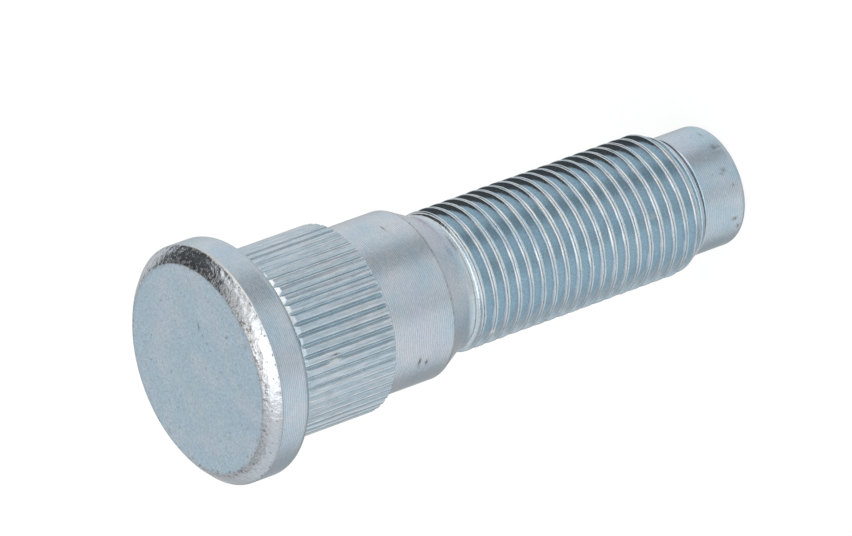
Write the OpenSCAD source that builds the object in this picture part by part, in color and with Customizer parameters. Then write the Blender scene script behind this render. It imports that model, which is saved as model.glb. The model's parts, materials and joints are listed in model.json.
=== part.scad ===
// Pressed-in wheel stud: round head, serrated band, plain shank, rolled thread and dog point.
// Millimetres. The origin is the middle of the point's end face, and +Z runs to the head.

/* [Head] */
// Diameter of the head
head_d = 20.9; // [19:0.1:24]
// Thickness of the head
head_t = 4.2; // [3:0.1:6]
// Width of the bevel round the outer face
bevel_w = 1.3; // [0.3:0.05:1.6]
// Depth of that bevel
bevel_h = 1.15; // [0.3:0.05:1.6]
// Rounding of the rim's back edge
rim_round = 0.85; // [0.2:0.05:1.2]
// Width of the fillet between the collar and the head's back face
fillet_w = 0.95; // [0.9:0.05:1.1]
// Height of that fillet
fillet_h = 0.5; // [0.3:0.05:0.6]

/* [Serrations] */
// Diameter over the serrations
serration_d = 16.6; // [15.8:0.05:18]
// Depth of the grooves between the teeth
serration_depth = 0.3; // [0.15:0.05:0.45]
// Number of teeth
serration_count = 54; // [36:2:72]
// Share of the tooth pitch taken by the flat top
serration_top = 0.5; // [0.3:0.02:0.6]
// Share of the tooth pitch taken by the groove's floor
serration_floor = 0.06; // [0.04:0.02:0.3]
// Plain collar between the head and the serrated band
collar_len = 0.6; // [0.3:0.1:2]
// Length of the serrated band with its chamfers
serration_len = 10.5; // [6:0.5:16]
// Angle of the first groove
serration_turn = 1.2; // [0:0.1:10]

/* [Shank] */
// Diameter of the plain shank
shank_d = 14.9; // [14:0.1:15.4]
// Length of the plain shank
shank_len = 5.9; // [3:0.1:12]
// Rounding of the edge where the shank meets the shoulder
shoulder_round = 0.5; // [0.2:0.1:1]
// Slope of the shoulder against the axis
shoulder_angle = 28; // [20:1:45]
// Diameter of the neck, which is the blank that the thread is rolled on
neck_d = 12; // [11.8:0.05:12.2]
// Length of the plain neck
neck_len = 0.5; // [0.3:0.1:3]

/* [Thread] */
// Diameter over the thread
thread_d = 12.5; // [12.4:0.02:12.7]
// Distance from one crest to the next
thread_pitch = 1.27; // [1:0.01:1.5]
// Height of the thread from root to crest
thread_depth = 0.7; // [0.5:0.02:0.8]
// Width of the crest
crest_w = 0.34; // [0.15:0.01:0.4]
// Width of the root
root_w = 0.12; // [0.06:0.01:0.3]
// Length of the thread from the neck to the point
thread_len = 25.3; // [15:0.1:45]
// Length over which the thread rises to its full height beside the neck
run_in_len = 1; // [0.8:0.1:3]
// Slope of the lead chamfer against the axis
lead_angle = 27; // [20:1:40]
// Angle of the crest where the thread meets the point
thread_turn = 221; // [0:1:360]

/* [Point] */
// Diameter of the dog point
point_d = 10.6; // [9.6:0.1:10.8]
// Length of the dog point
point_len = 4.5; // [4:0.1:8]
// Rounding of the point's end
point_round = 0.8; // [0.3:0.05:1.2]

/* [Hidden] */
// Steps in each rounded edge
arc_steps = 4;
// Flats round one turn of the thread
flat_count = 24;
// How far joined forms reach into each other
overlap = 0.4;
// Step in radius between the neck and the thread's first form
blank_step = 0.05;
// How far the teeth stand out before the band's outer form trims them
tooth_spare = 0.05;
// Turns of the thread that run on, out of sight, inside the point
hidden_turns = 2;
full_turn = 360;
quarter_turn = 90;
$fn = 96;

head_r = head_d / 2;
serration_r = serration_d / 2;
shank_r = shank_d / 2;
neck_r = neck_d / 2;
thread_r = thread_d / 2;
root_r = thread_r - thread_depth;
blank_r = neck_r - blank_step;
point_r = point_d / 2;

shoulder_len = (shank_r - neck_r) / tan(shoulder_angle);
band_chamfer = serration_r - shank_r;

thread_z = point_len;
neck_z = thread_z + thread_len;
shoulder_z = neck_z + neck_len;
shank_z = shoulder_z + shoulder_len;
band_z = shank_z + shank_len;
collar_z = band_z + serration_len;
seat_z = collar_z + collar_len;
top_z = seat_z + head_t;

// Points of a round edge of radius r about [x, z], from angle a to angle b
function arc(x, z, r, a, b) =
    [for (i = [0:arc_steps]) let (t = a + (b - a) * i / arc_steps) [x + r * cos(t), z + r * sin(t)]];

// Half section of everything above the thread except the serrated band
function upper_outline() = concat(
    [[0, neck_z], [neck_r, neck_z], [neck_r, shoulder_z]],
    arc(shank_r - shoulder_round, shank_z + shoulder_round * tan(shoulder_angle / 2),
        shoulder_round, -shoulder_angle, 0),
    [[shank_r, seat_z - fillet_h], [shank_r + fillet_w, seat_z]],
    arc(head_r - rim_round, seat_z + rim_round, rim_round, -quarter_turn, 0),
    [[head_r, top_z - bevel_h], [head_r - bevel_w, top_z], [0, top_z]]);

// Half section of the dog point, which reaches up into the thread's root
function point_outline() = concat(
    [[0, 0]],
    arc(point_r - point_round, point_round, point_round, -quarter_turn, 0),
    [[point_r, thread_z + overlap], [0, thread_z + overlap]]);

module serrated_band() {
    tooth = full_turn / serration_count;
    floor_r = serration_r - serration_depth;
    spare_r = serration_r + tooth_spare;
    flank = (1 - serration_top - serration_floor) / 2;
    spare_edge = (serration_floor / 2) + flank * (1 + tooth_spare / serration_depth);
    corners = [
        [floor_r, -serration_floor / 2],
        [floor_r, serration_floor / 2],
        [spare_r, spare_edge],
        [spare_r, 1 - spare_edge]
    ];
    outline = [for (i = [0:serration_count - 1], c = corners)
        let (a = serration_turn + tooth * (i + c[1])) c[0] * [cos(a), sin(a)]];
    low = band_z - overlap;
    high = collar_z + overlap;
    envelope = [
        [0, low], [shank_r - overlap, low],
        [serration_r, band_z + band_chamfer], [serration_r, collar_z - band_chamfer],
        [shank_r - overlap, high], [0, high]
    ];
    intersection() {
        translate([0, 0, low - overlap])
            linear_extrude(high - low + 2 * overlap) polygon(outline);
        rotate_extrude() polygon(envelope);
    }
}

// Share of its full height that the thread has at height z
function run_in(z) = max(0, min(1, (neck_z - z) / run_in_len));

// Largest radius that the lead chamfer leaves at height z
function lead_r(z) = point_r + (z - thread_z) * tan(lead_angle);

// Radius at height z of a point that the full thread form puts at radius r
function thread_radius(z, r) = min(lead_r(z), blank_r + (r - blank_r) * run_in(z));

// One closed solid: columns of points round the axis, each a little higher than the last,
// so that after a full turn a column meets the first one a pitch further up
module thread() {
    flank = (thread_pitch - crest_w - root_w) / 2;
    form = [
        [thread_r, -crest_w / 2],
        [thread_r, crest_w / 2],
        [root_r, crest_w / 2 + flank],
        [root_r, crest_w / 2 + flank + root_w]
    ];
    corners = len(form);
    low = thread_z + thread_pitch * (thread_turn / full_turn - hidden_turns);
    turns = ceil((neck_z - low) / thread_pitch) + 1;
    top = corners * turns;
    last = flat_count - 1;
    function at(i, j) = i > last ? j + corners : i * (top + 1) + j;
    walls = [for (i = [0:last], j = [0:top - 1 - (i == last ? corners : 0)])
        each [[at(i, j), at(i + 1, j + 1), at(i + 1, j)], [at(i, j), at(i, j + 1), at(i + 1, j + 1)]]];
    foot = flat_count * (top + 1);
    roof = foot + 1;
    foot_cap = concat(
        [for (i = [0:last]) [foot, at(i, 0), at(i + 1, 0)]],
        [for (j = [0:corners - 1]) [foot, at(0, j + 1), at(0, j)]]);
    roof_cap = concat(
        [for (i = [0:last - 1]) [roof, at(i + 1, top), at(i, top)]],
        [[roof, at(0, top), at(last, top - corners)]],
        [for (j = [top - corners:top - 1]) [roof, at(last, j), at(last, j + 1)]]);
    points = [for (i = [0:last], j = [0:top])
        let (
            corner = form[j % corners],
            a = full_turn * i / flat_count,
            z = low + thread_pitch * (floor(j / corners) + i / flat_count) + corner[1],
            r = thread_radius(z, corner[0])
        ) [r * cos(a), r * sin(a), z]];
    polyhedron(
        points = concat(points, [[0, 0, low], [0, 0, low + thread_pitch * turns]]),
        faces = concat(walls, foot_cap, roof_cap));
}

module stud_bolt() {
    color("lightsteelblue") {
        rotate_extrude() polygon(upper_outline());
        serrated_band();
        thread();
        rotate_extrude() polygon(point_outline());
    }
}

stud_bolt();
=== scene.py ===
"""Looks of a pressed-in wheel stud: its head, serrated band, shank, rolled thread and dog point."""
import json
import math
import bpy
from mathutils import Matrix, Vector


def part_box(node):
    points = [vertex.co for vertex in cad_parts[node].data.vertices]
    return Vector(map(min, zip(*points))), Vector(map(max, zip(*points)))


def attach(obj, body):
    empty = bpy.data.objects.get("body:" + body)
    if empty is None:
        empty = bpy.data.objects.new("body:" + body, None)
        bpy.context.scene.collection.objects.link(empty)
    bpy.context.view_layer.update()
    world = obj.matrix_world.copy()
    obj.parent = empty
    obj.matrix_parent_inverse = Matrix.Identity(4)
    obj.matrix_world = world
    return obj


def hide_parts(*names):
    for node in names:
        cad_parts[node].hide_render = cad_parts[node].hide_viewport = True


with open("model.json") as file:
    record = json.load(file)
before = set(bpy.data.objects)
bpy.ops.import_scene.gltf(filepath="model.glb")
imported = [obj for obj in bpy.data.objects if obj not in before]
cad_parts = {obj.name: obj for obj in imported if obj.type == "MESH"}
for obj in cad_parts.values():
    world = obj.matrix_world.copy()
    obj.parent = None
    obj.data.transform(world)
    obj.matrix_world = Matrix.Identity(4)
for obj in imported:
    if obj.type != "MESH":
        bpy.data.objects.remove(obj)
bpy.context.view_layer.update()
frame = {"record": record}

from types import SimpleNamespace

import bpy
import numpy as np
from bpy.props import FloatProperty, FloatVectorProperty, IntProperty, PointerProperty
from mathutils import Matrix, Vector

bl_info = {
    "name": "Wheel Stud",
    "version": (1, 0, 0),
    "blender": (4, 5, 0),
    "location": "View3D > Sidebar > Wheel Stud",
    "description": "Builds a zinc-plated press-in wheel stud and the stage it stands on",
    "category": "Add Mesh",
}

NODE = "stud_bolt"
BODY = "root"
MM = 0.001
TURN = 2 * math.pi
MOUNTS = {mount["name"]: mount for mount in frame["record"]["mounts"]}

# How far the end of a piece reaches in under the next one
TUCK = 0.3 * MM
# Radius at which the end faces of the head and the point close
CENTRE = 0.05 * MM

# Knocks in the metal: angle in degrees, radius and height in mm, size round the axis and along the
# surface in mm, and depth in mm. A negative depth stands proud, as the metal pushed up by a knock does.
HEAD_KNOCKS = (
    (51, 9.1, 54.2, 0.16, 0.22, 0.10),
    (330, 3.9, 54.2, 0.16, 0.42, 0.05),
    (286, 6.4, 54.2, 0.12, 0.26, 0.05),
    (273, 8.3, 54.2, 0.16, 0.16, 0.06),
)
BAND_KNOCKS = (
    (250.5, 8.2, 45.9, 0.12, 0.40, 0.18),
    (247.5, 8.2, 45.9, 0.14, 0.38, -0.14),
)
SHANK_KNOCKS = (
    (320, 7.45, 35.0, 0.10, 0.50, 0.03),
    (218, 7.45, 36.4, 0.10, 0.30, 0.03),
)
THREAD_KNOCKS = (
    (209, 6.25, 27.61, 0.30, 0.22, -0.12),
    (261, 6.2, 10.7, 0.16, 0.12, 0.20),
    (262, 6.2, 20.9, 0.20, 0.12, 0.14),
)
POINT_KNOCKS = (
    (325, 5.3, 1.5, 0.12, 0.10, 0.05),
    (300, 5.3, 1.2, 0.10, 0.35, 0.05),
    (278, 5.3, 1.8, 0.10, 0.30, 0.05),
    (238, 5.3, 3.1, 0.14, 0.25, 0.04),
)

# Stains, rubbed places, a painted lilac reflection, scuffs, and a painted shadow and highlight at a dent:
# angle in degrees, radius and height in mm, and size round the axis and along the surface in mm. Those with
# no radius reach through all radii.
HEAD_STAINS = (
    (273, 8.45, 54.2, 0.15, 0.22),
    (285, 6.35, 54.2, 0.12, 0.25),
    (323, 4.1, 54.2, 0.12, 0.28),
    (55, 9.05, 54.2, 0.16, 0.20),
    (118, 8.65, 54.2, 0.20, 0.20),
    (141, 8.8, 54.2, 0.20, 0.15),
    (175, 9.05, 54.2, 0.22, 0.15),
    (199, 8.75, 54.2, 0.16, 0.15),
)
# A painted shadow in the band's dent, and a painted highlight on the flap beside it
BAND_DENT_SHADOW = ((250.5, None, 45.9, 0.12, 0.40),)
BAND_FLAP_HIGHLIGHT = ((247.5, None, 45.9, 0.12, 0.35),)
SHANK_STAINS = (
    (321, 7.45, 35.4, 0.5, 0.08),
    (219, 7.45, 36.5, 0.50, 0.15),
    (217, 7.45, 35.7, 0.30, 0.12),
)
# A painted lilac reflection on one side of the shank's shoulder
SHANK_REFLECTION_TINT = ((-39, None, 31, 3.0, 1.0),)
SHANK_SCUFFS = ((-70, None, 30.9, 0.5, 0.5),)
THREAD_STAINS = ((269, None, 26.9, 0.7, 0.4),)
THREAD_RUBS = (
    (209, None, 27.61, 0.30, 0.22),
    (260, None, 10.9, 0.22, 0.16),
)
POINT_STAINS = (
    (323, 5.3, 1.4, 0.30, 0.10),
    (302, 5.3, 1.4, 0.35, 0.20),
    (278, 5.3, 1.7, 0.20, 0.25),
    (275, 5.3, 2.0, 0.15, 0.15),
    (262, 5.3, 1.3, 0.12, 0.15),
    (229, 5.3, 1.5, 0.20, 0.30),
    (219, 5.3, 1.0, 0.25, 0.15),
)

# Half section of a groove between two teeth: share of the tooth pitch from its middle, and share of
# its depth. A negative share stands proud, as the lip that rolling pushes up beside the groove does.
GROOVE_FORM = ((0, 1), (0.23, 0.1), (0.3, -0.08), (0.38, -0.02), (0.5, 0))

# Clouds and tints in the film, by their size in mm, and the most that a tint shows
CLOUD_SIZE = 3.125
TINT_SIZE = 4.76
TINT_SHARE = 0.4
# Rings round the axis: their spacing in mm, and how far they go lighter and darker. The real ones are
# too fine to show in the render, so these are drawn as coarse as they need to be to show.
FINE_RINGS = (0.19, 0.13)
# How far the clouds in the film move the rings, in radians of their wave
RING_WANDER = 6.0
# What residue and painted shade do: the share of their colour that they add, and how much more readily they
# make pits
DIRT_AND_SHADE_HAZE = 0.5
DIRT_AND_SHADE_PITS = 0.2
# The grain's level above which it is a pit, before that is lowered, and the width of a pit's edge
PIT_LEVEL = 0.72
PIT_EDGE = 0.1
# The share of dirt in a pit, and how far it raises the roughness
PIT_DIRT = 0.8
PIT_ROUGHNESS = 0.25
# How far the roughness varies with the grain
ROUGHNESS_SPREAD = 0.06
# How many times its own height the relief gains where the surface was worked hard
WORKED_RELIEF = 5


def pin_radius(name):
    """Radius in metres of one of the record's pins."""
    return MOUNTS[name]["dims"]["r_mm"] * MM


def from_hex(colour):
    """Linear RGBA of an sRGB hex colour."""
    parts = [int(colour[i:i + 2], 16) / 255 for i in (1, 3, 5)]
    return tuple(c / 12.92 if c <= 0.04045 else ((c + 0.055) / 1.055) ** 2.4 for c in parts) + (1.0,)


def length(name, description, default):
    """A size in metres."""
    return FloatProperty(
        name=name, description=description, default=default, min=0, unit="LENGTH", precision=5)


def slope(name, description, default):
    """An angle, with its default in degrees."""
    return FloatProperty(name=name, description=description, default=math.radians(default), unit="ROTATION")


def colour(name, description, default):
    """A colour, with its default as sRGB hex."""
    return FloatVectorProperty(
        name=name, description=description, default=from_hex(default), size=4, min=0, max=1, subtype="COLOR")


class StudSizes(bpy.types.PropertyGroup):
    """Sizes of the stud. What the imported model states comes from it."""

    top: length("Overall length", "Height of the head's face over the point's end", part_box(NODE)[1].z)
    head_radius: length("Head radius", "Radius of the head's rim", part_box(NODE)[1].x)
    seat: length("Seat height", "Height of the head's back face", MOUNTS["seat"]["pos_m"][2])
    bevel_width: length("Bevel width", "Width of the bevel round the head's face", 1.28 * MM)
    bevel_depth: length("Bevel depth", "Depth of the bevel", 1.14 * MM)
    bevel_bow: length("Bevel bow", "How far the middle of the bevel bulges", 0.08 * MM)
    bevel_edge: length("Bevel edges", "Rounding of the two edges of the bevel", 0.18 * MM)
    rim_round: length("Rim rounding", "Rounding of the rim's back edge", 0.85 * MM)
    fillet_width: length("Fillet width", "Width of the fillet under the head", 0.95 * MM)
    fillet_height: length("Fillet height", "Height of the fillet under the head", 0.5 * MM)
    collar: length("Collar", "Length of the plain collar under the head", 0.6 * MM)
    band_radius: length("Band radius", "Radius over the serrations", 8.3 * MM)
    band_length: length("Band length", "Length of the serrated band with its chamfers", 10.5 * MM)
    band_lead: slope("Band lead", "Slope of the teeth's ends beside the head", 28)
    groove_depth: length("Groove depth", "Depth of the grooves between the teeth", 0.3 * MM)
    teeth: IntProperty(name="Teeth", description="Number of teeth round the band", default=54, min=12)
    first_groove: slope("First groove", "Angle of the first groove", 1.2)
    shank_radius: length("Shank radius", "Radius of the plain shank", pin_radius("shank"))
    shank_length: length("Shank length", "Length of the plain shank", 5.9 * MM)
    shoulder_round: length("Shoulder rounding", "Rounding of the edge from shank to shoulder", 0.5 * MM)
    shoulder_slope: slope("Shoulder slope", "Slope of the shoulder against the axis", 28)
    neck_radius: length("Neck radius", "Radius of the neck, the blank under the thread", 6.0 * MM)
    neck_length: length("Neck length", "Length of the plain neck", 0.5 * MM)
    thread_radius: length("Thread radius", "Radius over the thread's crests", 6.25 * MM)
    pitch: length("Pitch", "Distance from one crest to the next", 1.27 * MM)
    flank_slope: slope("Flank slope", "Angle between a flank and a plane square to the axis", 28)
    root_round: length("Root rounding", "Rounding of the thread's root", 0.08 * MM)
    crest: length("Crest", "Width of the thread's crest", 0.35 * MM)
    crest_seam: length("Crest seam", "Depth of the seam that rolling leaves along the crest", 0.05 * MM)
    run_in: length("Run-in", "Length over which the thread rises beside the neck", 1.0 * MM)
    lead_slope: slope("Lead slope", "Slope of the thread's lead chamfer against the axis", 27)
    thread_start: slope("Thread start", "Angle of the crest where the thread meets the point", 221)
    point_radius: length("Point radius", "Radius of the dog point", pin_radius("dog_point"))
    point_length: length("Point length", "Length of the dog point", 4.5 * MM)
    point_round: length("Point rounding", "Rounding of the point's end", 0.8 * MM)


class StudFinish(bpy.types.PropertyGroup):
    """Colours of the plating."""

    zinc: colour("Zinc", "Bright zinc where the blue film is thin", "#c4cbd2")
    film: colour("Film", "Zinc under a full blue passivation film", "#aec3d0")
    lilac: colour("Lilac", "Faint lilac clouds in the film", "#c3c4d2")
    # The same colour lightens the painted highlights on edges, lips, tooth ends and the flap.
    burnished: colour("Burnished", "Zinc polished bright on rubbed edges", "#f1eee8")
    hollow: colour("Hollow", "Film in grooves and roots, where it is thickest", "#bdd0da")
    # The same colour darkens the painted shade at the bevel's inner edge and in the band's dent.
    dirt: colour("Dirt", "Brown-grey residue in pits and seams", "#6f6966")


def heights(sizes):
    """Heights at which the stud's lengths meet, from the head down."""
    band_top = sizes.seat - sizes.collar
    band_foot = band_top - sizes.band_length
    edge = band_foot - sizes.shank_length
    neck = edge - (sizes.shank_radius - sizes.neck_radius) / math.tan(sizes.shoulder_slope)
    return SimpleNamespace(
        band_top=band_top, band_foot=band_foot, edge=edge, neck=neck, thread_top=neck - sizes.neck_length)


def profile(corners, step):
    """Points of a half section through corners [radius, height, rounding], no further apart than step."""
    path = []
    for k, (r, z, rounding) in enumerate(corners):
        here = np.array([r, z])
        if rounding <= 0 or k in (0, len(corners) - 1):
            path.append(here)
            continue
        before = np.array(corners[k - 1][:2]) - here
        after = np.array(corners[k + 1][:2]) - here
        before, after = before / np.linalg.norm(before), after / np.linalg.norm(after)
        half = math.acos(np.clip(before @ after, -1, 1)) / 2
        back = rounding / math.tan(half)
        centre = here + (before + after) / np.linalg.norm(before + after) * rounding / math.sin(half)
        start, end = here + before * back - centre, here + after * back - centre
        sweep = math.pi - 2 * half
        steps = max(2, math.ceil(sweep * rounding / step))
        for t in np.linspace(0, 1, steps + 1):
            spoke = start * math.sin((1 - t) * sweep) + end * math.sin(t * sweep)
            path.append(centre + spoke / math.sin(sweep))
    dense = [path[0]]
    for a, b in zip(path[:-1], path[1:]):
        parts = max(1, math.ceil(np.linalg.norm(b - a) / step))
        dense += [a + (b - a) * k / parts for k in range(1, parts + 1)]
    return np.array(dense)


def round_trip(count):
    """Angles of the columns round the axis."""
    return np.arange(count) * TURN / count


def around(r, z, angles):
    """Rows of points at radii r and heights z, with a column for each angle."""
    return np.stack(np.broadcast_arrays(r * np.cos(angles), r * np.sin(angles), z), axis=-1)


def turned(path, columns):
    """Rows of points of the half section path, turned round the axis."""
    return around(path[:, :1], path[:, 1:], round_trip(columns))


def turn_from(angles, middle):
    """How far the angles are from the middle one, the short way round."""
    return (angles - middle + math.pi) % TURN - math.pi


def bell(distance, width):
    """Shares that are 1 at no distance and fall off over the width."""
    return np.exp(-(distance / width) ** 2)


def wander(places, seed):
    """Smooth random values from -1 to 1 at the given places, which are in steps of the wander."""
    values = np.random.default_rng(seed).uniform(-1, 1, int(np.max(places)) + 2)
    low = np.floor(places).astype(int)
    t = places - low
    t = t * t * (3 - 2 * t)
    return values[low] * (1 - t) + values[low + 1] * t


def near(points, angle, radius, height, across, along):
    """Shares that fall off round a place on the surface. Its angle is in degrees, the rest in mm.

    With no radius the place reaches through all radii.
    """
    radii = np.hypot(points[..., 0], points[..., 1])
    turn = turn_from(np.arctan2(points[..., 1], points[..., 0]), math.radians(angle))
    off = points[..., 2] - height * MM
    if radius is not None:
        off = np.hypot(radii - radius * MM, off)
    return bell(turn * radii, across * MM) * bell(off, along * MM)


def spots(points, places):
    """The highest share that any of the given places has."""
    return np.max([near(points, *place) for place in places], axis=0)


def knocked(points, knocks):
    """The rows of points with knocks pressed into them along the surface's normals."""
    along_row = np.roll(points, -1, axis=1) - np.roll(points, 1, axis=1)
    normals = np.cross(along_row, np.gradient(points, axis=0))
    normals /= np.linalg.norm(normals, axis=-1, keepdims=True)
    press = sum(depth * MM * near(points, *place) for *place, depth in knocks)
    return points - normals * press[..., None]


def skin(name, points, materials, zones=None, shift=0, **shares):
    """A closed mesh over rows of points round the axis, with rows going up on the outside.

    The last column meets the first one shift rows further on, as a helix does. zones is the material
    of each row. shares are values over the points that the plating reads by name: hollow, the painted
    lilac reflection, the burnish with painted highlights, the residue with painted shade, and worked. One
    that isn't given is 0.
    """
    rows, columns = points.shape[:2]
    index = np.arange(rows * columns).reshape(rows, columns)
    ahead = np.roll(index, -1, axis=1)
    ahead[:, -1] = np.append(index[shift:, 0], np.full(shift, -1))
    quads = np.stack([index[:-1], ahead[:-1], ahead[1:], index[1:]], axis=-1)
    whole = (quads >= 0).all(axis=-1)
    zones = np.zeros(rows, int) if zones is None else np.asarray(zones)
    slots = np.repeat(zones[:-1, None], columns, axis=1)[whole].tolist() + [int(zones[0]), int(zones[-1])]
    foot = list(index[0]) + list(index[shift:0:-1, 0])
    roof = list(index[-1]) + list(index[-2:-2 - shift:-1, -1])
    faces = quads[whole].tolist() + [foot[::-1], roof]
    mesh = bpy.data.meshes.new(name)
    mesh.from_pydata(points.reshape(-1, 3).tolist(), [], faces)
    mesh.polygons.foreach_set("use_smooth", np.ones(len(faces), bool))
    for material in materials:
        mesh.materials.append(material)
    mesh.polygons.foreach_set("material_index", np.array(slots, np.int32))
    for share, values in shares.items():
        values = np.broadcast_to(values, (rows, columns)).ravel().astype(np.float32)
        mesh.attributes.new(share, "FLOAT", "POINT").data.foreach_set("value", values)
    mesh.update()
    piece = bpy.data.objects.new(name, mesh)
    bpy.context.scene.collection.objects.link(piece)
    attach(piece, BODY)
    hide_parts(NODE)


def add_node(tree, kind, settings=None, links=None):
    """Adds one node to tree. Settings are its properties or, by socket, its inputs' values."""
    node = tree.nodes.new(kind)
    for key, value in (settings or {}).items():
        if isinstance(key, str) and hasattr(node, key):
            setattr(node, key, value)
        else:
            node.inputs[key].default_value = value
    for key, socket in (links or {}).items():
        tree.links.new(socket, node.inputs[key])
    return node


def film_colour(tree, place, clouds, film, mottle):
    """Colour of the film: blue in clouds with lilac tints and a painted lilac reflection, thick in hollows,
    rubbed off on edges, and lightened by painted highlights.
    """
    finish = bpy.context.scene.stud_finish
    share = add_node(tree, "ShaderNodeMapRange", {
        "From Min": 0.35, "From Max": 0.65, "To Min": film - mottle / 2, "To Max": film + mottle / 2},
        {"Value": clouds})
    share = add_node(tree, "ShaderNodeClamp", None, {"Value": share.outputs[0]})
    plating = add_node(tree, "ShaderNodeMix", {"data_type": "RGBA", 6: finish.zinc, 7: finish.film},
                       {0: share.outputs[0]})
    tints = add_node(tree, "ShaderNodeTexNoise", {
        "noise_dimensions": "4D", "Scale": 1 / TINT_SIZE, "Detail": 2.0, "W": 3.0},
        {"Vector": place})
    tint = add_node(tree, "ShaderNodeMapRange", {
        "From Min": 0.52, "From Max": 0.7, "To Max": TINT_SHARE * mottle},
        {"Value": tints.outputs["Fac"]})
    bloom = add_node(tree, "ShaderNodeAttribute", {"attribute_name": "bloom"})
    tint = add_node(tree, "ShaderNodeMath", {"operation": "MAXIMUM"},
                    {0: tint.outputs[0], 1: bloom.outputs["Fac"]})
    plating = add_node(tree, "ShaderNodeMix", {"data_type": "RGBA", 7: finish.lilac},
                       {0: tint.outputs[0], 6: plating.outputs[2]})
    for name, tone in (("hollow", finish.hollow), ("burnished", finish.burnished)):
        share = add_node(tree, "ShaderNodeAttribute", {"attribute_name": name})
        plating = add_node(tree, "ShaderNodeMix", {"data_type": "RGBA", 7: tone},
                           {0: share.outputs["Fac"], 6: plating.outputs[2]})
    return plating.outputs[2]


def shade(tree, place, clouds, flecks, rings):
    """How much lighter or darker the flecks, and the rings if there are any, make the film."""
    contrast, waves_round, waves_along = flecks
    stretch = add_node(tree, "ShaderNodeVectorMath", {
        "operation": "MULTIPLY", 1: (waves_round, waves_round, waves_along)},
        {0: place})
    fleck = add_node(tree, "ShaderNodeTexNoise", {"Scale": 1.0, "Detail": 4.0, "Roughness": 0.75},
                     {"Vector": stretch.outputs[0]})
    factor = add_node(tree, "ShaderNodeMapRange", {
        "From Min": 0.3, "From Max": 0.7, "To Min": 1 - contrast, "To Max": 1 + contrast},
        {"Value": fleck.outputs["Fac"]})
    if rings:
        spacing, contrast = rings
        along = add_node(tree, "ShaderNodeSeparateXYZ", None, {"Vector": place})
        wave = add_node(tree, "ShaderNodeMath", {"operation": "MULTIPLY", 1: TURN / spacing},
                        {0: along.outputs["Z"]})
        wave = add_node(tree, "ShaderNodeMath", {"operation": "MULTIPLY_ADD", 1: RING_WANDER},
                        {0: clouds, 2: wave.outputs[0]})
        wave = add_node(tree, "ShaderNodeMath", {"operation": "SINE"}, {0: wave.outputs[0]})
        factor = add_node(tree, "ShaderNodeMath", {"operation": "MULTIPLY_ADD", 1: contrast},
                          {0: wave.outputs[0], 2: factor.outputs[0]})
    return factor.outputs[0]


def pitting(tree, grain, dirt, readiness):
    """Where the grain makes pits, of which there are more under residue and painted shade."""
    pitted = add_node(tree, "ShaderNodeMath", {"operation": "MULTIPLY_ADD", 1: DIRT_AND_SHADE_PITS, 2: readiness},
                      {0: dirt})
    level = add_node(tree, "ShaderNodeMath", {"operation": "SUBTRACT", 0: PIT_LEVEL}, {1: pitted.outputs[0]})
    pit = add_node(tree, "ShaderNodeMath", {"operation": "SUBTRACT"}, {0: grain, 1: level.outputs[0]})
    pit = add_node(tree, "ShaderNodeMapRange", {"From Max": PIT_EDGE, "To Max": PIT_DIRT},
                   {"Value": pit.outputs[0]})
    return pit.outputs[0]


def relief(tree, place, reliefs, pit, pit_depth):
    """Height in mm of the steel under the zinc, higher where it was worked, and less in pits."""
    worked = add_node(tree, "ShaderNodeAttribute", {"attribute_name": "worked"})
    height = None
    for k, (waves_round, waves_along, rise) in enumerate(reliefs):
        stretch = add_node(tree, "ShaderNodeVectorMath", {
            "operation": "MULTIPLY", 1: (waves_round, waves_round, waves_along)},
            {0: place})
        wave = add_node(tree, "ShaderNodeTexNoise", {
            "noise_dimensions": "4D", "Scale": 1.0, "Detail": 2.0, "W": float(k)},
            {"Vector": stretch.outputs[0]})
        rise = add_node(tree, "ShaderNodeMath", {
            "operation": "MULTIPLY_ADD", 1: WORKED_RELIEF * rise, 2: rise},
            {0: worked.outputs["Fac"]})
        links = {0: wave.outputs["Fac"], 1: rise.outputs[0]}
        if height:
            links[2] = height
        height = add_node(tree, "ShaderNodeMath", {"operation": "MULTIPLY_ADD"}, links).outputs[0]
    height = add_node(tree, "ShaderNodeMath", {"operation": "MULTIPLY_ADD", 1: -pit_depth},
                      {0: pit, 2: height})
    return height.outputs[0]


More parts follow.
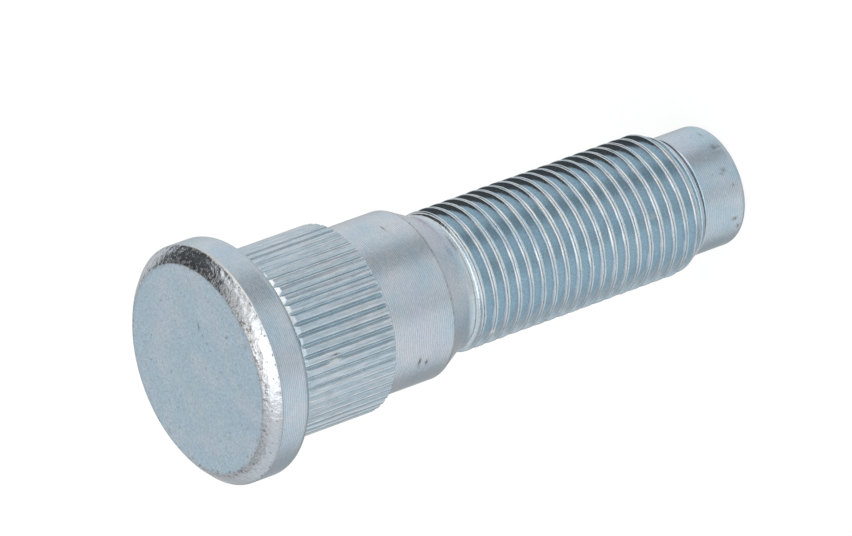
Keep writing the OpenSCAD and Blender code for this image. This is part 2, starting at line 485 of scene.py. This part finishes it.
def plated_steel(name, roughness, film, mottle, reliefs, pits, flecks, rings=None):
    """Zinc-plated steel under a blue passivation film.

    film is the share of the blue film, and mottle how far it varies from place to place. reliefs are
    waves of the surface, each as waves per mm round the axis, waves per mm along it, and height in
    mm. pits are how readily the grain makes them, its waves per mm and their depth in mm. flecks are
    how far the film's grain goes lighter and darker, and its waves per mm round the axis and along
    it. rings are the spacing in mm of rings round the axis, and how far they go lighter and darker.
    Noise runs from about 0.3 to 0.7, and the Map Range nodes stretch it to what each use needs.
    """
    readiness, pits_per_mm, pit_depth = pits
    dirt_and_shade_colour = bpy.context.scene.stud_finish.dirt
    material = bpy.data.materials.new(name)
    material.use_nodes = True
    tree = material.node_tree
    tree.nodes.clear()
    place = add_node(tree, "ShaderNodeTexCoord").outputs["Object"]
    place = add_node(tree, "ShaderNodeVectorMath", {"operation": "SCALE", "Scale": 1 / MM}, {0: place})
    place = place.outputs[0]
    clouds = add_node(tree, "ShaderNodeTexNoise", {"Scale": 1 / CLOUD_SIZE, "Detail": 3.0, "Roughness": 0.6},
                      {"Vector": place}).outputs["Fac"]
    grain = add_node(tree, "ShaderNodeTexNoise", {"Scale": pits_per_mm, "Detail": 4.0, "Roughness": 0.7},
                     {"Vector": place}).outputs["Fac"]
    dirt = add_node(tree, "ShaderNodeAttribute", {"attribute_name": "dirt"}).outputs["Fac"]
    pit = pitting(tree, grain, dirt, readiness)

    plating = add_node(tree, "ShaderNodeVectorMath", {"operation": "SCALE"}, {
        0: film_colour(tree, place, clouds, film, mottle),
        "Scale": shade(tree, place, clouds, flecks, rings)})
    haze = add_node(tree, "ShaderNodeMath", {"operation": "MULTIPLY", 1: DIRT_AND_SHADE_HAZE}, {0: dirt})
    plating = add_node(tree, "ShaderNodeMix", {"data_type": "RGBA", 7: dirt_and_shade_colour},
                       {0: haze.outputs[0], 6: plating.outputs[0]})
    plating = add_node(tree, "ShaderNodeMix", {"data_type": "RGBA", 7: dirt_and_shade_colour},
                       {0: pit, 6: plating.outputs[2]})
    bump = add_node(tree, "ShaderNodeBump", {"Distance": MM},
                    {"Height": relief(tree, place, reliefs, pit, pit_depth)})
    matt = add_node(tree, "ShaderNodeMapRange", {
        "From Min": 0.3, "From Max": 0.7,
        "To Min": roughness - ROUGHNESS_SPREAD, "To Max": roughness + ROUGHNESS_SPREAD},
        {"Value": grain})
    matt = add_node(tree, "ShaderNodeMath", {"operation": "MULTIPLY_ADD", 1: PIT_ROUGHNESS},
                    {0: pit, 2: matt.outputs[0]})
    shader = add_node(tree, "ShaderNodeBsdfPrincipled", {"Metallic": 1.0}, {
        "Base Color": plating.outputs[2], "Roughness": matt.outputs[0], "Normal": bump.outputs[0]})
    add_node(tree, "ShaderNodeOutputMaterial", None, {"Surface": shader.outputs[0]})
    return material


def die_formed_rim():
    """Zinc-plated steel, cold-headed, its rim rolled smooth by the die's wall."""
    # A soft even sheen with fine rings round it
    return plated_steel(
        "zinc_on_die_formed_rim", roughness=0.28, film=0.6, mottle=0.7,
        reliefs=((0.4, 8, 0.014), (5, 5, 0.006)), pits=(0.02, 3, 0.004), flecks=(0.12, 3, 8),
        rings=FINE_RINGS)


def crumpled_bevel():
    """Zinc-plated steel, the sheared edge of the blank that heading flattened."""
    # Bright and crumpled, with dark pits
    return plated_steel(
        "zinc_on_crumpled_bevel", roughness=0.24, film=0.0, mottle=0.2,
        reliefs=((1.5, 2.2, 0.11), (5, 6, 0.016)), pits=(0.11, 2.7, 0.02), flecks=(0.08, 3, 3))


def headed_face():
    """Zinc-plated steel, cold-headed, its face stamped flat by the punch."""
    # Matt, with soft clouds in the film and a few specks
    return plated_steel(
        "zinc_on_headed_face", roughness=0.4, film=0.85, mottle=0.7,
        reliefs=((1.2, 1.2, 0.012), (6, 6, 0.010)), pits=(0.10, 2.6, 0.008), flecks=(0.22, 6, 6))


def rolled_serrations():
    """Zinc-plated steel, its serrations rolled in along the axis."""
    # Streaks along the teeth, with lighter film in the grooves
    return plated_steel(
        "zinc_on_rolled_serrations", roughness=0.28, film=0.6, mottle=0.6,
        reliefs=((5, 0.6, 0.010), (5, 5, 0.014)), pits=(0.04, 3.5, 0.006), flecks=(0.2, 6, 0.8))


def drawn_steel():
    """Zinc-plated steel, drawn through a die."""
    # Satin, with fine rings and pale clouds
    return plated_steel(
        "zinc_on_drawn_steel", roughness=0.28, film=0.35, mottle=0.9,
        reliefs=((0.4, 8, 0.016), (5, 5, 0.006)), pits=(0.03, 3.5, 0.005), flecks=(0.12, 3, 8),
        rings=FINE_RINGS)


def rolled_thread():
    """Zinc-plated steel, its thread rolled between dies."""
    # Glossy, with a fine grain, so that it shows the dark and light of the studio
    return plated_steel(
        "zinc_on_rolled_thread", roughness=0.17, film=0.8, mottle=0.5,
        reliefs=((3, 4, 0.006), (5, 5, 0.003)), pits=(0.03, 3.5, 0.006), flecks=(0.18, 8, 8))


def turned_steel():
    """Zinc-plated steel, turned down on a lathe."""
    # Satin, with the tool's fine rings and a few stains
    return plated_steel(
        "zinc_on_turned_steel", roughness=0.28, film=0.7, mottle=0.8,
        reliefs=((0.4, 8, 0.016), (5, 5, 0.006)), pits=(0.04, 3.5, 0.008), flecks=(0.12, 3, 8),
        rings=FINE_RINGS)


class STUD_OT_head(bpy.types.Operator):
    """Build the cold-headed head with its bevel, rim and rounded back edge"""

    bl_idname = "stud.head"
    bl_label = "Head"

    def execute(self, context):
        sizes = context.scene.stud_sizes
        collar_foot = heights(sizes).band_top
        bevel_foot = sizes.top - sizes.bevel_depth
        face_edge = sizes.head_radius - sizes.bevel_width
        chord = np.array([sizes.bevel_depth, sizes.bevel_width])
        middle = chord / np.linalg.norm(chord) * sizes.bevel_bow
        middle += [sizes.head_radius - sizes.bevel_width / 2, sizes.top - sizes.bevel_depth / 2]
        bow_round = 1.5 * MM
        path = profile([
            (sizes.shank_radius - TUCK, collar_foot, 0),
            (sizes.shank_radius, collar_foot, 0),
            (sizes.shank_radius, sizes.seat - sizes.fillet_height, 0),
            (sizes.shank_radius + sizes.fillet_width, sizes.seat, 0),
            (sizes.head_radius, sizes.seat, sizes.rim_round),
            (sizes.head_radius, bevel_foot, sizes.bevel_edge),
            (*middle, bow_round),
            (face_edge, sizes.top, sizes.bevel_edge),
            (CENTRE, sizes.top, 0),
        ], step=0.12 * MM)
        points = knocked(turned(path, columns=384), HEAD_KNOCKS)
        r, z = path.T
        rim, bevel, face = range(3)
        zones = np.where(r < face_edge, face, bevel)
        zones[z < bevel_foot] = rim
        # Residue lies along the rim's back edge and the bevel's outer edge, and residue with painted shade
        # along the bevel's inner edge.
        inner_edge = bell(r - face_edge - 0.15 * MM, 0.3 * MM) * (z > sizes.top - 0.5 * MM)
        back_edge = bell(z - sizes.seat - 0.35 * MM, 0.25 * MM) * (r > sizes.head_radius - sizes.rim_round)
        outer_edge = bell(z - bevel_foot, 0.15 * MM)
        dirt = 0.55 * inner_edge + 0.4 * back_edge + 0.4 * outer_edge
        dirt *= np.where(zones == bevel, 0.9, 1)
        # A painted highlight runs along the edge between rim and bevel, and another over a part of the
        # bevel.
        outside = (r > sizes.head_radius - 0.15 * MM)[:, None]
        edge_highlight = outside * near(points, -45, None, bevel_foot / MM, across=6, along=0.08)
        bevel_highlight = (zones == bevel)[:, None] * near(points, -88, None, sizes.top / MM, across=6, along=2)
        skin("stud_head", points, [die_formed_rim(), crumpled_bevel(), headed_face()], zones,
             dirt=np.maximum(dirt[:, None], 0.7 * spots(points, HEAD_STAINS)),
             burnished=np.maximum(edge_highlight, 0.4 * bevel_highlight))
        return {"FINISHED"}


class STUD_OT_band(bpy.types.Operator):
    """Build the rolled serrations with their chamfered ends"""

    bl_idname = "stud.band"
    bl_label = "Serrated Band"

    def execute(self, context):
        sizes = context.scene.stud_sizes
        at = heights(sizes)
        chamfer = sizes.band_radius - sizes.shank_radius
        # Rows are close together at both ends, where the teeth rise.
        end_tuck, end_reach, end_step = 0.2 * MM, 0.6 * MM, 0.06 * MM
        middle_rows = 16
        ends = np.arange(-end_tuck, chamfer + end_reach, end_step)
        middle = np.linspace(at.band_foot + ends[-1], at.band_top - ends[-1], middle_rows + 2)[1:-1]
        z = np.concatenate([at.band_foot + ends, middle, (at.band_top - ends)[::-1]])[:, None]
        from_head = at.band_top - z
        from_tip = z - at.band_foot

        # Place round the axis counted in teeth, and its distance from the nearest groove
        columns_per_tooth = 20
        angles = round_trip(sizes.teeth * columns_per_tooth)
        place = (angles - sizes.first_groove) / TURN * sizes.teeth
        across = np.abs((place + 0.5) % 1 - 0.5)
        # Each groove has a depth of its own, and each tooth starts at a place of its own.
        rng = np.random.default_rng(4)
        depth = rng.uniform(0.75, 1.05, sizes.teeth)[np.floor(place + 0.5).astype(int) % sizes.teeth]
        slip = rng.uniform(-0.12, 0.12, sizes.teeth)[np.floor(place).astype(int) % sizes.teeth] * MM
        # On one side the grooves are shallower, as rolling left them.
        pressed = 1 - 0.4 * bell(turn_from(angles, math.radians(-20)), 0.7)
        floor = np.interp(across, *np.transpose(GROOVE_FORM)) * depth * pressed

        # Towards the tip a fine seam runs along the top of each tooth.
        seam_start, seam_rise, seam_depth = 4.6 * MM, 3 * MM, 0.04 * MM
        seam = np.clip(1 - np.abs(across - 0.5) / 0.05, 0, 1)
        seam = seam * np.clip((from_head - seam_start) / seam_rise, 0, 1)
        tooth = sizes.band_radius - sizes.groove_depth * floor - seam_depth * seam

        # By the head the ends of the teeth slope in over a steep step, and at the tip they fall steeply.
        step_share, foot_start = 0.75, 0.4 * MM
        lead = sizes.band_radius - (chamfer + slip - from_head) * math.tan(sizes.band_lead)
        step = sizes.shank_radius + from_head / math.tan(sizes.band_lead) * step_share
        foot = sizes.shank_radius + (from_tip - foot_start) / math.tan(sizes.band_lead)
        cone = np.minimum(np.minimum(lead, step), foot)
        points = around(np.minimum(tooth, cone), z, angles)

        # The lips beside the grooves are rubbed bright and carry a painted highlight, and a painted
        # highlight lies on the sloping ends of the teeth on one side of the band.
        lip_place, lip_width = 0.29, 0.03
        broken = 0.5 + 0.5 * wander(angles * 97 + z / MM * 1.3, seed=3)
        lips = bell(across - lip_place, lip_width) * broken
        facet_highlight = (cone < tooth) * (lead <= step)
        facet_highlight = facet_highlight * near(points, -55, None, at.band_top / MM, across=4.5, along=1)
        # The seams carry residue, and the grooves are darker towards their floors.
        dirt = np.maximum(0.8 * seam, 0.3 * floor)
        # A painted shadow lies in the dent, and a painted highlight on its flap.
        skin("stud_band", knocked(points, BAND_KNOCKS), [rolled_serrations()],
             hollow=np.clip(1.5 * floor, 0, 1),
             dirt=np.maximum(dirt, 1.5 * spots(points, BAND_DENT_SHADOW)),
             burnished=np.max([np.clip(lips, 0, 1), spots(points, BAND_FLAP_HIGHLIGHT), facet_highlight], axis=0))
        return {"FINISHED"}


class STUD_OT_shank(bpy.types.Operator):
    """Build the plain shank, its shoulder and the neck"""

    bl_idname = "stud.shank"
    bl_label = "Shank"

    def execute(self, context):
        sizes = context.scene.stud_sizes
        at = heights(sizes)
        neck_end, neck_draft, neck_round = at.neck - 0.42 * MM, 0.01 * MM, 1.5 * MM
        band_end = at.band_foot + 0.7 * MM
        path = profile([
            (sizes.neck_radius - TUCK, neck_end - 0.03 * MM, 0),
            (sizes.neck_radius - neck_draft, neck_end, 0),
            (sizes.neck_radius, at.neck, neck_round),
            (sizes.shank_radius, at.edge, sizes.shoulder_round),
            (sizes.shank_radius, band_end, 0),
            (sizes.shank_radius - TUCK, band_end + 0.1 * MM, 0),
        ], step=0.1 * MM)
        columns = 320
        points = knocked(turned(path, columns), SHANK_KNOCKS)
        # A brown line of residue runs unevenly along the shoulder's edge.
        on_edge = bell(path[:, 1:] - at.edge, 0.11 * MM)
        on_edge = on_edge * (0.8 + 0.2 * wander(round_trip(columns) * 12, seed=9))
        # One side of the shoulder carries a painted lilac reflection.
        skin("stud_shank", points, [drawn_steel()],
             dirt=np.maximum(on_edge, 1.5 * spots(points, SHANK_STAINS)),
             bloom=spots(points, SHANK_REFLECTION_TINT),
             worked=spots(points, SHANK_SCUFFS))
        return {"FINISHED"}


class STUD_OT_thread(bpy.types.Operator):
    """Build the rolled right-hand thread with its run-in and lead chamfer"""

    bl_idname = "stud.thread"
    bl_label = "Thread"

    def execute(self, context):
        sizes = context.scene.stud_sizes
        at = heights(sizes)
        foot = sizes.point_length

        # One pitch of the thread, from the seam in the middle of a crest to the next one
        half = (sizes.pitch - sizes.crest) / 2
        crest_radius, seam_radius = sizes.thread_radius, sizes.thread_radius - sizes.crest_seam
        seam_floor, seam_edge = 0.035 * MM, 0.065 * MM
        rounded, sharp = 0.05 * MM, 0.01 * MM
        form = profile([
            (seam_radius, 0, 0),
            (seam_radius, seam_floor, 0),
            (crest_radius, seam_edge, 0),
            (crest_radius, sizes.crest / 2, rounded),
            (crest_radius - half / math.tan(sizes.flank_slope), sizes.pitch / 2, sizes.root_round),
            (crest_radius, sizes.pitch - sizes.crest / 2, sharp),
            (crest_radius, sizes.pitch - seam_edge, 0),
            (seam_radius, sizes.pitch - seam_floor, 0),
            (seam_radius, sizes.pitch, 0),
        ], step=0.1 * MM)[:-1]

        # Each column is a little higher than the last, and trip is how many turns a point has gone.
        columns = 150
        per_turn = len(form)
        start = foot + sizes.pitch * (sizes.thread_start / TURN - 1)
        turns = math.ceil((at.neck - start) / sizes.pitch)
        level = np.arange(turns * per_turn + 1)
        trip = (level // per_turn)[:, None] + np.arange(columns) / columns
        r = form[level % per_turn, 0][:, None] + np.zeros(columns)
        z = start + form[level % per_turn, 1][:, None] + sizes.pitch * trip
        # The crest sways a little in and out and up and down.
        crest_rise, sway_out, sway_along = 0.15 * MM, 0.012 * MM, 0.020 * MM
        crest = np.clip((r - crest_radius + crest_rise) / crest_rise, 0, 1)
        r += crest * sway_out * (wander(trip * 20, seed=5) + wander(trip * 57, seed=7))
        z += crest * sway_along * (wander(trip * 24, seed=6) + wander(trip * 61, seed=8))
        # The film thickens down the flanks.
        film_start, film_rise = 0.1 * MM, 0.2 * MM
        hollow = np.clip((crest_radius - film_start - r) / film_rise, 0, 1)
        # Beside the neck the crest rises at once, and the root sinks over the whole run-in.
        share = np.clip((at.thread_top - z) / sizes.run_in, 0, 1)
        share = np.where(r > sizes.neck_radius, np.minimum(2 * share, 1), share)
        r = sizes.neck_radius + (r - sizes.neck_radius) * share
        r = np.minimum(r, sizes.point_radius + (z - foot) * math.tan(sizes.lead_slope))
        angles = round_trip(columns)
        points = around(r, z, angles)

        in_seam = np.abs(form[:, 0] - seam_radius) < 0.01 * MM
        on_lips = np.abs(form[:, 0] - crest_radius) < 0.03 * MM
        seam = in_seam[level % per_turn, None]
        # The two lips beside the seam are rubbed bright and carry a painted highlight, strongest on one side
        # of the stud.
        highlight_side, highlight_reach = math.radians(285), math.radians(50)
        lips = crest * on_lips[level % per_turn, None] * (1 + wander(trip * 44, seed=11))
        lips *= 0.25 + 0.75 * bell(turn_from(angles, highlight_side), highlight_reach)
        # The run-in is worked hard by the ends of the dies.
        worked = bell(z - at.thread_top + 0.2 * MM, 0.45 * MM)
        # The seam along the crest is darker.
        skin("stud_thread", knocked(points, THREAD_KNOCKS), [rolled_thread()], shift=per_turn,
             hollow=hollow * share,
             dirt=np.maximum(0.8 * seam * share, 0.5 * spots(points, THREAD_STAINS)),
             burnished=np.max([0.4 * lips, 0.35 * worked, spots(points, THREAD_RUBS)], axis=0),
             worked=worked)
        return {"FINISHED"}


class STUD_OT_point(bpy.types.Operator):
    """Build the dog point with its rounded end"""

    bl_idname = "stud.point"
    bl_label = "Dog Point"

    def execute(self, context):
        sizes = context.scene.stud_sizes
        wall_reach, tuck_reach, tuck = 0.05 * MM, 0.4 * MM, 0.5 * MM
        path = profile([
            (CENTRE, 0, 0),
            (sizes.point_radius, 0, sizes.point_round),
            (sizes.point_radius, sizes.point_length + wall_reach, 0),
            (sizes.point_radius - tuck, sizes.point_length + tuck_reach, 0),
        ], step=0.15 * MM)
        points = turned(path, columns=288)
        skin("stud_point", knocked(points, POINT_KNOCKS), [turned_steel()],
             dirt=1.1 * spots(points, POINT_STAINS))
        return {"FINISHED"}


# Light of the studio by direction: where a panel stands, how far it reaches in degrees, the radius
# in degrees inside which it is even, and its level. Each panel lies over the ones before it.
STUDIO_LEVEL = (0.85, 0.855, 0.865, 1)
PANELS = (
    ((0, 0.15, -0.98), 36, 14, 0.72),
    ((0.80, 0.27, -0.53), 30, 10, 0.96),
    ((-0.75, -0.42, -0.45), 42, 15, 0.98),
    ((-0.32, -0.79, -0.53), 16, 4, 0.74),
    ((-0.15, -0.56, 0.81), 44, 6, 1.85),
    ((0.62, -0.15, 0.77), 34, 6, 0.66),
    ((0, 0.05, 1), 26, 10, 0.85),
    ((0.756, -0.562, 0.337), 30, 18, 1.4),
    ((0.66, 0.52, 0.54), 36, 25, 0.075),
    ((0, 0.85, 0.53), 26, 10, 0.88),
    ((-0.50, 0.60, 0.62), 22, 8, 0.55),
    ((-0.42, 0.89, -0.14), 24, 8, 0.6),
    ((0.05, 0.87, -0.49), 32, 6, 0.64),
    ((0.668, -0.522, -0.53), 20, 6, 0.5),
    ((-0.545, 0.65, -0.53), 28, 10, 0.5),
    ((-0.35, 0.48, -0.80), 20, 8, 0.48),
)

WHITE = (1, 1, 1, 1)
CARD = (0.8, 0.8, 0.8, 1)
FLOOR_SIDE = 6.0
# What the camera sees of the floor: how much of it is plain white, and how bright that is
FLOOR_WHITE_SHARE = 0.8
FLOOR_WHITE = 1.1

# The camera's tilt down and its roll in degrees, its place in its own axes from the middle of the
# head's face in metres, its lens and sensor in mm, and how far it sees in metres
CAMERA_TILT = 32.1604
CAMERA_ROLL = -109.83
CAMERA_PLACE = (0.018975, 0.0083835, 1.03739)
CAMERA_LENS = 528.4
CAMERA_SENSOR = 36
CAMERA_REACH = 20


def add_floor():
    """Adds a white card that the stud stands on. The camera sees it as white, with a faint shadow."""
    half = FLOOR_SIDE / 2
    mesh = bpy.data.meshes.new("floor")
    corners = [(-half, -half, 0), (half, -half, 0), (half, half, 0), (-half, half, 0)]
    mesh.from_pydata(corners, [], [(0, 1, 2, 3)])
    floor = bpy.data.objects.new("floor", mesh)
    bpy.context.scene.collection.objects.link(floor)
    # The metal shows the studio's panels all round, also from below.
    floor.visible_glossy = False
    material = bpy.data.materials.new("white_card")
    material.use_nodes = True
    tree = material.node_tree
    tree.nodes.clear()
    card = add_node(tree, "ShaderNodeBsdfDiffuse", {"Color": CARD})
    white = add_node(tree, "ShaderNodeEmission", {"Color": WHITE, "Strength": FLOOR_WHITE})
    ray = add_node(tree, "ShaderNodeLightPath")
    share = add_node(tree, "ShaderNodeMath", {"operation": "MULTIPLY", 1: FLOOR_WHITE_SHARE},
                     {0: ray.outputs["Is Camera Ray"]})
    both = add_node(tree, "ShaderNodeMixShader", None,
                    {0: share.outputs[0], 1: card.outputs[0], 2: white.outputs[0]})
    add_node(tree, "ShaderNodeOutputMaterial", None, {"Surface": both.outputs[0]})
    mesh.materials.append(material)


def add_studio():
    """Makes the world a soft studio of paler and darker panels, which the camera sees as plain white."""
    world = bpy.data.worlds.new("soft_studio")
    bpy.context.scene.world = world
    world.use_nodes = True
    tree = world.node_tree
    tree.nodes.clear()
    place = add_node(tree, "ShaderNodeTexCoord")
    base = add_node(tree, "ShaderNodeRGB")
    base.outputs[0].default_value = STUDIO_LEVEL
    light = base.outputs[0]
    for direction, reach, even, level in PANELS:
        dot = add_node(tree, "ShaderNodeVectorMath", {
            "operation": "DOT_PRODUCT", 1: Vector(direction).normalized()},
            {0: place.outputs["Generated"]})
        mask = add_node(tree, "ShaderNodeMapRange", {
            "interpolation_type": "SMOOTHSTEP",
            "From Min": math.cos(math.radians(reach)), "From Max": math.cos(math.radians(even))},
            {"Value": dot.outputs["Value"]})
        light = add_node(tree, "ShaderNodeMix", {"data_type": "RGBA", 7: (level, level, level, 1)},
                         {0: mask.outputs[0], 6: light}).outputs[2]
    ray = add_node(tree, "ShaderNodeLightPath")
    studio = add_node(tree, "ShaderNodeBackground", {"Strength": 1.0}, {"Color": light})
    white = add_node(tree, "ShaderNodeBackground", {"Color": WHITE, "Strength": 1.0})
    pick = add_node(tree, "ShaderNodeMixShader", None,
                    {0: ray.outputs["Is Camera Ray"], 1: studio.outputs[0], 2: white.outputs[0]})
    add_node(tree, "ShaderNodeOutputWorld", None, {"Surface": pick.outputs[0]})


def add_camera(head_height):
    """Adds the camera. It is rolled on its side, so that the standing stud lies across the picture."""
    lens = bpy.data.cameras.new("camera")
    lens.sensor_width = CAMERA_SENSOR
    lens.lens = CAMERA_LENS
    lens.clip_end = CAMERA_REACH
    camera = bpy.data.objects.new("camera", lens)
    bpy.context.scene.collection.objects.link(camera)
    tilt = Matrix.Rotation(math.radians(90 - CAMERA_TILT), 4, "X")
    roll = Matrix.Rotation(math.radians(CAMERA_ROLL), 4, "Z")
    head = Matrix.Translation((0, 0, head_height))
    camera.matrix_world = head @ tilt @ roll @ Matrix.Translation(CAMERA_PLACE)
    bpy.context.scene.camera = camera


class STUD_OT_stage(bpy.types.Operator):
    """Set the floor, the soft studio light and the camera"""

    bl_idname = "stud.stage"
    bl_label = "Stage"

    def execute(self, context):
        add_floor()
        add_studio()
        add_camera(context.scene.stud_sizes.top)
        context.scene.view_settings.view_transform = "Standard"
        return {"FINISHED"}


class STUD_PT_panel(bpy.types.Panel):
    """Buttons and sizes of the stud"""

    bl_idname = "STUD_PT_panel"
    bl_label = "Wheel Stud"
    bl_space_type = "VIEW_3D"
    bl_region_type = "UI"
    bl_category = "Wheel Stud"

    def draw(self, context):
        for operator in OPERATORS:
            self.layout.operator(operator.bl_idname)
        for group in (context.scene.stud_sizes, context.scene.stud_finish):
            for name in group.__annotations__:
                self.layout.prop(group, name)


OPERATORS = (STUD_OT_head, STUD_OT_band, STUD_OT_shank, STUD_OT_thread, STUD_OT_point, STUD_OT_stage)
CLASSES = (StudSizes, StudFinish) + OPERATORS + (STUD_PT_panel,)


def register():
    for cls in CLASSES:
        bpy.utils.register_class(cls)
    bpy.types.Scene.stud_sizes = PointerProperty(type=StudSizes)
    bpy.types.Scene.stud_finish = PointerProperty(type=StudFinish)


def unregister():
    del bpy.types.Scene.stud_finish
    del bpy.types.Scene.stud_sizes
    for cls in reversed(CLASSES):
        bpy.utils.unregister_class(cls)


def main():
    """Builds the stud and its stage."""
    register()
    for operator in OPERATORS:
        group, name = operator.bl_idname.split(".")
        getattr(getattr(bpy.ops, group), name)()


if __name__ == "__main__":
    main()
